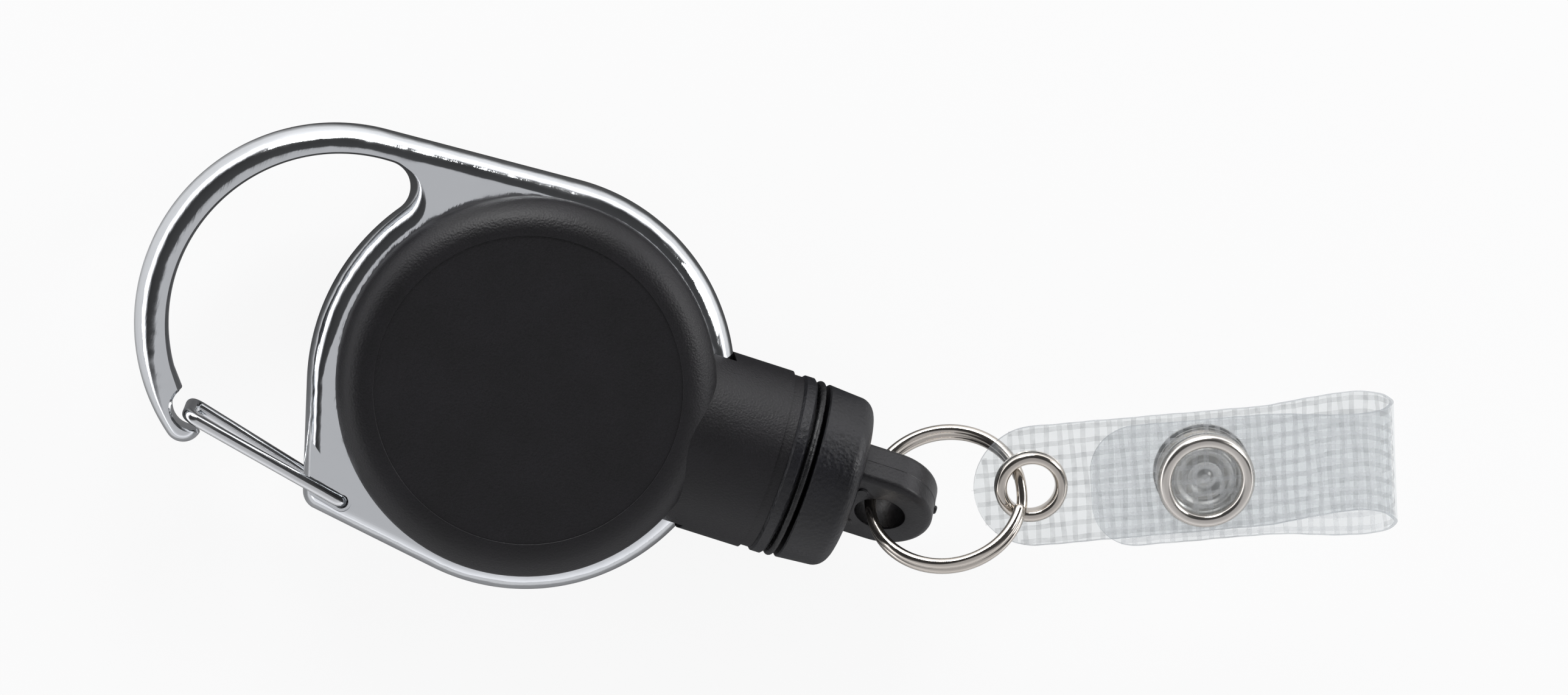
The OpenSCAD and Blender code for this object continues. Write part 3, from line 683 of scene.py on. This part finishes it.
PATH, PATH_S, PATH_N = strap_path()
LENGTH = PATH_S[-1]
S_FOLD = PATH_S[np.argmax(PATH[:, 0])]
S_HINGE_A = S_FOLD + FOLD_R * math.radians(HINGE_ARC)
S_HINGE_B = S_FOLD + FOLD_R * math.radians(90) + HINGE_RUN


def path_at(s, lift=0.0):
    """The point at a distance s along the strap, lifted square off its middle line."""
    return [np.interp(s, PATH_S, PATH[:, k]) + lift * np.interp(s, PATH_S, PATH_N[:, k]) for k in (0, 1)]


def half_width(s):
    """Half the strap's width at a distance s along it: round at the eyelet, soft corners at the flap."""
    full = STRAP_W / 2
    if s < full:
        return math.sqrt(max(full ** 2 - (full - s) ** 2, 0.01))
    left = LENGTH - s
    if left < FLAP_CORNER:
        return full - FLAP_CORNER + math.sqrt(max(FLAP_CORNER ** 2 - (FLAP_CORNER - left) ** 2, 0.01))
    return full


def sheet_piece(name, s0, s1, open_start, open_end):
    """The vinyl sheet between two distances along the strap. An open end has no faces to close it."""
    bm = bmesh.new()
    ends = [] if open_start else [s0 + d for d in END_STEPS]
    inner = np.arange(s0 + (0 if open_start else 0.6), s1 - (0.2 if open_end else 0.6), SHEET_STEP)
    stations = ends + list(inner)
    stations += [s1] if open_end else [s1 - d for d in reversed(END_STEPS)]
    across = SHEET_ACROSS
    layers = {}
    for side in (-1, 1):
        for i, s in enumerate(stations):
            w = half_width(s)
            wave = 0.05 * math.sin(s * 0.9) + 0.04 * math.sin(s * 2.3 + 1)
            for k in range(across + 1):
                y = w * (2 * k / across - 1)
                edge = wave * (abs(y) / (STRAP_W / 2)) ** 3
                x, z = path_at(s, side * SHEET_T / 2 + edge)
                layers[side, i, k] = bm.verts.new((x, y, z))
    last = len(stations) - 1
    for side in (-1, 1):
        for i in range(last):
            for k in range(across):
                corners = ((i, k), (i + 1, k), (i + 1, k + 1), (i, k + 1))
                bm.faces.new([layers[(side, *corner)] for corner in corners])
    # Edge faces take the second material, the painted shade of the cut edge
    for k in (0, across):
        for i in range(last):
            corners = ((-1, i, k), (-1, i + 1, k), (1, i + 1, k), (1, i, k))
            bm.faces.new([layers[corner] for corner in corners]).material_index = 1
    for i, is_open in ((0, open_start), (last, open_end)):
        if not is_open:
            for k in range(across):
                corners = ((-1, i, k), (-1, i, k + 1), (1, i, k + 1), (1, i, k))
                bm.faces.new([layers[corner] for corner in corners]).material_index = 1
    return to_mesh(name, bm, STRAP, 40)


def net_piece(name, s0, s1):
    """The woven net: flat threads along and across the strap, passing over and under each other."""
    bm = bmesh.new()

    def ribbon(points, across_dir):
        left = [bm.verts.new(Vector(p) + Vector(d) * THREAD_W / 2) for p, d in zip(points, across_dir)]
        right = [bm.verts.new(Vector(p) - Vector(d) * THREAD_W / 2) for p, d in zip(points, across_dir)]
        for i in range(len(points) - 1):
            bm.faces.new((left[i], left[i + 1], right[i + 1], right[i]))

    def runs(samples):
        """Lays a ribbon over each unbroken run of samples; None marks a gap."""
        run = []
        for sample in samples + [None]:
            if sample is None:
                if len(run) > 1:
                    ribbon([p for p, _ in run], [d for _, d in run])
                run = []
            else:
                run.append(sample)

    def in_eyelet(s, y):
        return (s + TAIL) ** 2 + y ** 2 < EYELET_HOLE ** 2

    rows = int(STRAP_W / 2 / NET_ROW)
    for row in range(-rows, rows + 1):
        samples = []
        for s in np.arange(s0, s1 + 0.01, NET_PITCH / 4):
            y = row * NET_ROW + 0.1 * math.sin(s * 0.35 + row)
            if abs(y) > half_width(s) - 0.1 or in_eyelet(s, y):
                samples.append(None)
                continue
            x, z = path_at(s, NET_LIFT * math.cos(math.pi * (s / NET_PITCH + row)))
            samples.append(((x, y, z), (0, 1, 0)))
        runs(samples)
    for column in range(math.ceil(s0 / NET_PITCH), int(s1 / NET_PITCH) + 1):
        samples = []
        w = half_width(column * NET_PITCH) - 0.04
        for y in np.linspace(-w, w, max(3, math.ceil(8 * w / NET_ROW))):
            bow = column * NET_PITCH + 0.12 * math.sin(y * 0.5 + column * 1.7)
            if abs(y) > half_width(bow) or in_eyelet(bow, y) or not s0 <= bow <= s1:
                samples.append(None)
                continue
            lift = -NET_LIFT * math.cos(math.pi * (y / NET_ROW + column))
            x, z = path_at(bow, lift)
            ahead = path_at(bow + 0.1, lift)
            samples.append(((x, y, z), Vector((ahead[0] - x, 0, ahead[1] - z)).normalized()))
        runs(samples)
    return to_mesh(name, bm, STRAP, 80)


def open_end(sheet, s):
    """Takes off the faces that close the sheet at a seam, so that nothing shows there."""
    place = STRAP.inverted() @ Matrix.Scale(1 / MM, 4)
    ahead, here = path_at(s + 0.05), path_at(s)
    along = Vector((ahead[0] - here[0], 0, ahead[1] - here[1])).normalized()
    start = Vector((here[0], 0, here[1]))
    bm = bmesh.new()
    bm.from_mesh(sheet.data)
    closing = [f for f in bm.faces if all(abs((place @ v.co - start).dot(along)) < 0.02 for v in f.verts)]
    bmesh.ops.delete(bm, geom=closing, context="FACES")
    bm.to_mesh(sheet.data)
    bm.free()


def hole_cutter(radius):
    """Cutter for the eyelet's hole in the sheet."""
    bm = bmesh.new()
    bmesh.ops.create_cone(bm, cap_ends=True, segments=48, radius1=radius, radius2=radius, depth=4)
    return to_mesh("hole_cutter", bm, STRAP)


def make_strap(m):
    spans = {"rear": (0, S_HINGE_A), "hinge": (S_HINGE_A, S_HINGE_B), "flap": (S_HINGE_B, LENGTH)}
    for part, (s0, s1) in spans.items():
        sheet = sheet_piece("strap_sheet_" + part, s0, s1, part != "rear", part == "hinge")
        net = net_piece("strap_net_" + part, s0, s1)
        sheet.data.materials.append(m["sheet"])
        sheet.data.materials.append(m["edge"])
        if part == "rear":
            cut(sheet, hole_cutter(EYELET_HOLE))
            open_end(sheet, s1)
        # The hinge and flap threads take the lighter copy with the painted highlight
        net.data.materials.append(m["thread" if part == "rear" else "thread_painted_highlight"])
        for obj in (sheet, net):
            if part == "rear":
                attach(obj, "strap")
            elif part == "flap":
                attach(obj, "flap")
            else:
                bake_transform(obj)
        if part == "rear":
            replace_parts(sheet, "strap_rear_leg")
        if part == "flap":
            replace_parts(sheet, "strap_flap")


# ---------- eyelet and snap ----------

SNAP_X = 17.4
SHEET_SIDE = 0.27                 # from a sheet's middle to the metal that sits on it
SOCKET_TOP = GAP - SHEET_SIDE
PRONG_CIRCLE, PRONG_R = 4.2, 0.28

# Turned profiles as (radius, height), each round its own closed loop
EYELET = [(2.5, -0.62), (2.46, -0.3), (2.46, 0.3), (2.52, 0.55), (2.7, 0.76), (2.95, 0.86), (3.2, 0.85),
          (3.45, 0.73), (3.62, 0.55), (3.7, 0.36), (3.66, 0.24), (2.9, 0.22), (2.85, -0.62)]
WASHER = [(2.9, -0.6), (2.9, -0.24), (3.62, -0.24), (3.7, -0.34), (3.64, -0.5), (3.4, -0.6)]
SNAP_RING = [(3.62, 0.0), (3.54, 0.12), (3.53, 0.32), (3.62, 0.55), (3.78, 0.72), (4.0, 0.82), (4.25, 0.85),
             (4.5, 0.78), (4.72, 0.6), (4.87, 0.36), (4.95, 0.12), (4.9, 0.0)]
SOCKET = [(0, -0.10), (0.35, -0.12), (0.6, -0.22), (0.8, -0.40), (1.0, -0.46), (1.25, -0.42), (1.5, -0.22),
          (1.75, -0.12), (2.0, -0.22), (2.2, -0.44), (2.35, -0.5), (2.5, -0.42), (2.7, -0.16), (2.9, -0.06),
          (3.1, -0.12), (3.25, -0.34), (3.4, -0.36), (3.6, -0.16), (3.8, -0.05), (4.6, -0.03), (4.8, -0.12),
          (4.8, -0.32), (4.7, -0.4), (3.5, -0.42), (3.3, -0.6), (3.3, -1.2), (3.15, -1.3), (2.0, -1.3),
          (1.85, -1.2), (1.85, -0.62), (0, -0.62)]
STUD = [(0, 0.29), (4.7, 0.29), (4.8, 0.38), (4.78, 0.52), (4.6, 0.62), (1.8, 0.62), (1.45, 0.72),
        (1.35, 0.9), (1.35, 1.15), (1.52, 1.25), (1.6, 1.38), (1.52, 1.52), (1.3, 1.6), (0, 1.62)]


def prongs(name, low, high, matrix, look):
    """Five prongs that hold a snap ring to its mate through the sheet."""
    bm = bmesh.new()
    for k in range(5):
        x, y = polar((0, 0), PRONG_CIRCLE, 72 * k)
        tube(bm, [(x, y, low), (x, y, high)], PRONG_R, 12)
    obj = to_mesh(name, bm, matrix)
    obj.data.materials.append(look)
    return obj


def make_hardware(m):
    snap = STRAP @ Matrix.Translation((SNAP_X, 0, 0))
    above = snap @ Matrix.Translation((0, 0, GAP + SHEET_SIDE))
    below = snap @ Matrix.Translation((0, 0, -SHEET_SIDE)) @ Matrix.Rotation(math.pi, 4, "X")
    top = snap @ Matrix.Translation((0, 0, SOCKET_TOP))
    turned = [("eyelet_barrel", EYELET, STRAP, "nickel", "strap_eyelet", "strap"),
              ("eyelet_back", WASHER, STRAP, "nickel", "eyelet_washer", "strap"),
              ("snap_rim_front", SNAP_RING, above, "snap", "snap_ring_front", "flap"),
              ("snap_rim_rear", SNAP_RING, below, "snap", "snap_ring_rear", "strap"),
              ("snap_socket_dish", SOCKET, top, "dish", "snap_socket", "flap"),
              ("snap_stud_post", STUD, snap, "snap", "snap_stud", "strap")]
    for name, profile, place, look, cad, body in turned:
        obj = lathe(name, profile, place)
        obj.data.materials.append(m[look])
        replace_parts(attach(obj, body), cad)
    pronged = [("snap_prongs_front", above, "snap_ring_front", "flap"),
               ("snap_prongs_rear", below, "snap_ring_rear", "strap")]
    for name, place, cad, body in pronged:
        obj = prongs(name, -0.7, 0.1, place, m["snap"])
        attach(obj, body)


FACE_LINE_R, FACE_LINE_WIRE, FACE_LINE_IN = 15.35, 0.1, 0.11


def make_face_beads(m):
    """The fine raised line around the flat of each face."""
    beads = [("face_line_front", 2 * MID - FACE_LINE_IN, "front_shell"),
             ("face_line_rear", FACE_LINE_IN, "rear_shell")]
    for name, z, cad in beads:
        bm = bmesh.new()
        path = [(*q, z) for q in arc((0, 0), FACE_LINE_R, 0, 360, 2.5)]
        tube(bm, path, FACE_LINE_WIRE, 8, ends=False)
        bead = to_mesh(name, bm, None, 60)
        bead.data.materials.append(m["face"])
        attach(bead, "reel_body")


# ---------- cord ----------

GUIDE_KINK = 23.2                 # where the cord turns into the guide
CORD_R = 0.5
CORD_BEND = 2.4                   # radius of that turn
SPRING_TURNS, SPRING_STEPS = 9, 36
SPRING_IN, SPRING_OUT = 2.35, 9.95
SPRING_HALF = 0.125               # half the strip's thickness


def make_cord(m):
    """The cord from the coil through the guide to the plug; on the real reel the run past the guide is what
    pays out, here it is one fixed tube.
    """
    low, high = (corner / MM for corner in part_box("cord_lead"))
    free_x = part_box("cord_guide")[1].x / MM + 0.05
    end_x = high.x - 0.6
    coil_end = (low.x + 0.4, high.y - 0.45, MID)
    inside = fillet_path([coil_end, (GUIDE_KINK, 0, MID), (free_x, 0, MID)], CORD_BEND)
    outside = [(x, 0, MID) for x in np.linspace(free_x, end_x, 60)[1:]] + [(high.x, 0, MID)]
    bm = bmesh.new()
    tube(bm, inside + outside, CORD_R, 16)
    cord = to_mesh("cord_run", bm, None, 60)
    cord.data.materials.append(m["cord"])
    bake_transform(cord)
    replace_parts(cord, "cord_lead")


def make_power_spring(m):
    """The flat spring strip, wound from just outside the post to just inside the drum's chamber."""
    low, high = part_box("power_spring")
    bottom, top = low.z / MM, high.z / MM
    half, count = SPRING_HALF, SPRING_TURNS * SPRING_STEPS
    bm = bmesh.new()
    rings = []
    for i in range(count + 1):
        t = i / count
        r, a = SPRING_IN + (SPRING_OUT - SPRING_IN) * t, 360 * SPRING_TURNS * t
        ring = []
        for offset, z in ((-half, bottom), (half, bottom), (half, top), (-half, top)):
            ring.append(bm.verts.new((*polar((0, 0), r + offset, a), z)))
        rings.append(ring)
    for lower, upper in zip(rings, rings[1:]):
        ring_faces(bm, lower, upper)
    bm.faces.new(rings[0])
    bm.faces.new(rings[-1])
    spring = to_mesh("spring_strip", bm, None, 40)
    spring.data.materials.append(m["steel"])
    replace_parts(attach(spring, "spool"), "power_spring")


# ---------- finishing the plain nodes ----------

def dress_nodes(m):
    """Gives the CAD nodes that stay as they are their materials."""
    looks = {
        "front_shell": "face", "rear_shell": "face", "nozzle_collar": "leather", "buffer_ring": "rubber",
        "cord_guide": "natural", "centre_post": "steel", "cord_spool": "natural", "spool_lid": "natural",
        "cord_coil": "cord", "plug_cap": "leather", "plug_insert": "lug",
        "cord_knot": "cord", "lug_clip": "steel", "snap_spring": "steel"}
    for name, look in looks.items():
        obj = frame["nodes"][name]
        obj.data.materials.clear()
        obj.data.materials.append(m[look])
        smooth(obj, 32)


# ---------- stage, light and camera ----------

FLOOR_HALF = 2500                 # half the floor's side, in mm
FLOOR_Z = -0.2
FLOOR_TONE = (0.86, 0.86, 0.87)
FLOOR_GLOW = 0.9                  # share of even light in what the camera sees of the floor
# Painted reflection: where and how much the floor is painted darker near the reel, for glossy rays only
NEAR_Y, NEAR_SHARE = (0.01, -0.03), 0.6
DARK_REACH, DARK_SHARES = (0.036, 0.05), (0.07, 0.95)


def make_floor():
    """A plain pale floor. Only reflections see it painted darker close to the reel: a painted reflection
    that gives the plated parts their dark bands.
    """
    bm = bmesh.new()
    for x, y in ((-1, -1), (1, -1), (1, 1), (-1, 1)):
        bm.verts.new((x * FLOOR_HALF, y * FLOOR_HALF, FLOOR_Z))
    bm.faces.new(bm.verts[:])
    floor = to_mesh("floor", bm)
    mat = material("pale_floor", FLOOR_TONE, 0.0, 0.6)
    tree = mat.node_tree
    glow = node(mat, "ShaderNodeEmission")
    glow.inputs["Strength"].default_value = 1.0
    seen = node(mat, "ShaderNodeLightPath")
    share = node(mat, "ShaderNodeMath", operation="MULTIPLY")
    share.inputs[1].default_value = FLOOR_GLOW
    mix = node(mat, "ShaderNodeMixShader")
    tone = node(mat, "ShaderNodeMix", data_type="RGBA")
    slots = [slot for slot in tone.inputs if slot.type == "RGBA"]
    slots[0].default_value = (*FLOOR_TONE, 1)
    place = node(mat, "ShaderNodeTexCoord").outputs["Object"]
    across = node(mat, "ShaderNodeSeparateXYZ")
    link(mat, place, across.inputs["Vector"])
    near = node(mat, "ShaderNodeMapRange")
    near.inputs["From Min"].default_value, near.inputs["From Max"].default_value = NEAR_Y
    near.inputs["To Max"].default_value = NEAR_SHARE
    link(mat, across.outputs["Y"], near.inputs["Value"])
    reach = node(mat, "ShaderNodeVectorMath", operation="LENGTH")
    link(mat, place, reach.inputs[0])
    far = node(mat, "ShaderNodeMapRange")
    far.inputs["From Min"].default_value, far.inputs["From Max"].default_value = DARK_REACH
    far.inputs["To Min"].default_value, far.inputs["To Max"].default_value = DARK_SHARES
    link(mat, reach.outputs["Value"], far.inputs["Value"])
    either = node(mat, "ShaderNodeMath", operation="MAXIMUM")
    link(mat, near.outputs["Result"], either.inputs[0])
    link(mat, far.outputs["Result"], either.inputs[1])
    link(mat, either.outputs["Value"], slots[1])
    # Only glossy rays get the darker colour: a painted dark reflection in the plated parts
    link(mat, seen.outputs["Is Glossy Ray"], tone.inputs["Factor"])
    link(mat, [slot for slot in tone.outputs if slot.type == "RGBA"][0],
         tree.nodes["Principled BSDF"].inputs["Base Color"])
    link(mat, seen.outputs["Is Camera Ray"], share.inputs[0])
    link(mat, share.outputs["Value"], mix.inputs["Fac"])
    link(mat, tree.nodes["Principled BSDF"].outputs["BSDF"], mix.inputs[1])
    link(mat, glow.outputs["Emission"], mix.inputs[2])
    link(mat, mix.outputs["Shader"], tree.nodes["Material Output"].inputs["Surface"])
    floor.data.materials.append(mat)


def world_ramp(tree, source, stops):
    """A grey ramp from (angle in degrees, brightness) stops."""
    item = tree.nodes.new("ShaderNodeValToRGB")
    elements = item.color_ramp.elements
    while len(elements) < len(stops):
        elements.new(0.5)
    for element, (angle, value) in zip(elements, stops):
        element.position = angle / 180
        element.color = (value, value, value * 1.03, 1)
    tree.links.new(source, item.inputs["Fac"])
    return item.outputs["Color"]


def world_math(tree, operation, *inputs):
    item = tree.nodes.new("ShaderNodeMath")
    item.operation = operation
    for slot, value in zip(item.inputs, inputs):
        if isinstance(value, (int, float)):
            slot.default_value = value
        else:
            tree.links.new(value, slot)
    return item.outputs["Value"]


def world_dot(tree, source, direction):
    item = tree.nodes.new("ShaderNodeVectorMath")
    item.operation = "DOT_PRODUCT"
    item.inputs[1].default_value = Vector(direction).normalized()
    tree.links.new(source, item.inputs[0])
    return item.outputs["Value"]


# Brightness of the studio dome by the angle from straight overhead, in degrees
DOME_FAR = [(0, 0.17), (10, 0.165), (16, 0.02), (64, 0.012), (70, 0.12), (78, 0.75), (98, 0.6), (108, 0.04),
            (180, 0.05)]
DOME_NEAR = [(0, 0.17), (30, 0.18), (60, 0.24), (85, 0.34), (105, 0.22), (180, 0.16)]
DOME_TURN = (-0.8, -0.15)         # where the near side gives way to the far side
DOME_STRENGTH = 3.0


def make_world():
    """A studio dome: a soft patch overhead, then a dark gap and a bright strip on the far side,
    and an even light grey on the near side."""
    world = bpy.data.worlds.new("studio")
    bpy.context.scene.world = world
    world.use_nodes = True
    tree = world.node_tree
    ray = tree.nodes.new("ShaderNodeTexCoord").outputs["Generated"]
    height = world_dot(tree, ray, (0.05, -0.05, 1))
    away = world_dot(tree, ray, CAMERA_UP)
    angle = world_math(tree, "DIVIDE", world_math(tree, "ARCCOSINE", height), math.pi)
    squared = world_math(tree, "MULTIPLY", height, height)
    flat = world_math(tree, "SQRT", world_math(tree, "SUBTRACT", 1.0, squared))
    side = world_math(tree, "DIVIDE", away, world_math(tree, "MAXIMUM", flat, 0.05))
    share = tree.nodes.new("ShaderNodeMapRange")
    share.interpolation_type = "SMOOTHSTEP"
    share.inputs["From Min"].default_value, share.inputs["From Max"].default_value = DOME_TURN
    tree.links.new(side, share.inputs["Value"])
    mix = tree.nodes.new("ShaderNodeMix")
    mix.data_type = "RGBA"
    tree.links.new(share.outputs["Result"], mix.inputs["Factor"])
    colours = [slot for slot in mix.inputs if slot.type == "RGBA"]
    tree.links.new(world_ramp(tree, angle, DOME_NEAR), colours[0])
    tree.links.new(world_ramp(tree, angle, DOME_FAR), colours[1])
    result = [slot for slot in mix.outputs if slot.type == "RGBA"][0]
    tree.links.new(result, tree.nodes["Background"].inputs["Color"])
    tree.nodes["Background"].inputs["Strength"].default_value = DOME_STRENGTH


def area_light(name, place, target, size, power):
    data = bpy.data.lights.new(name, "AREA")
    data.shape = "RECTANGLE"
    data.size, data.size_y = size
    data.energy = power
    lamp = bpy.data.objects.new(name, data)
    lamp.location = place
    lamp.rotation_euler = (Vector(target) - Vector(place)).to_track_quat("-Z", "Y").to_euler()
    bpy.context.scene.collection.objects.link(lamp)


def make_lights():
    centre = (0.02, 0, 0.01)
    area_light("key", (-0.20, 0.50, 0.30), centre, (0.35, 0.12), 2.0)
    area_light("fill", (0.45, 0.35, 0.30), centre, (0.2, 0.2), 1.0)


def make_camera():
    data = bpy.data.cameras.new("camera")
    data.sensor_width = 36
    data.lens = CAMERA_LENS
    data.clip_start = 0.01
    data.clip_end = 10
    camera = bpy.data.objects.new("camera", data)
    right, up = Vector(CAMERA_RIGHT).normalized(), Vector(CAMERA_UP)
    up = (up - right * up.dot(right)).normalized()
    back = right.cross(up)
    turn = Matrix((right, up, back)).transposed().to_4x4()
    camera.matrix_world = Matrix.Translation(CAMERA_AT) @ turn
    bpy.context.scene.collection.objects.link(camera)
    bpy.context.scene.camera = camera


# The camera stands half a metre in front of the reel, a little to its left, rolled with the picture
CAMERA_AT = (-0.03730, 0.03724, 0.50253)
CAMERA_RIGHT = (0.9444, 0.3128, 0.1008)
CAMERA_UP = (-0.3047, 0.9484, -0.0878)
CAMERA_LENS = 113.2

scene = bpy.context.scene
scene.view_settings.view_transform = "Standard"
scene.view_settings.look = "None"
scene.view_settings.exposure = 0.0

MATERIALS = make_materials()
make_frame(MATERIALS)
make_gate(MATERIALS)
make_lug(MATERIALS)
make_split_ring(MATERIALS)
make_strap(MATERIALS)
make_hardware(MATERIALS)
make_face_beads(MATERIALS)
make_cord(MATERIALS)
make_power_spring(MATERIALS)
dress_nodes(MATERIALS)
make_floor()
make_world()
make_lights()
make_camera()
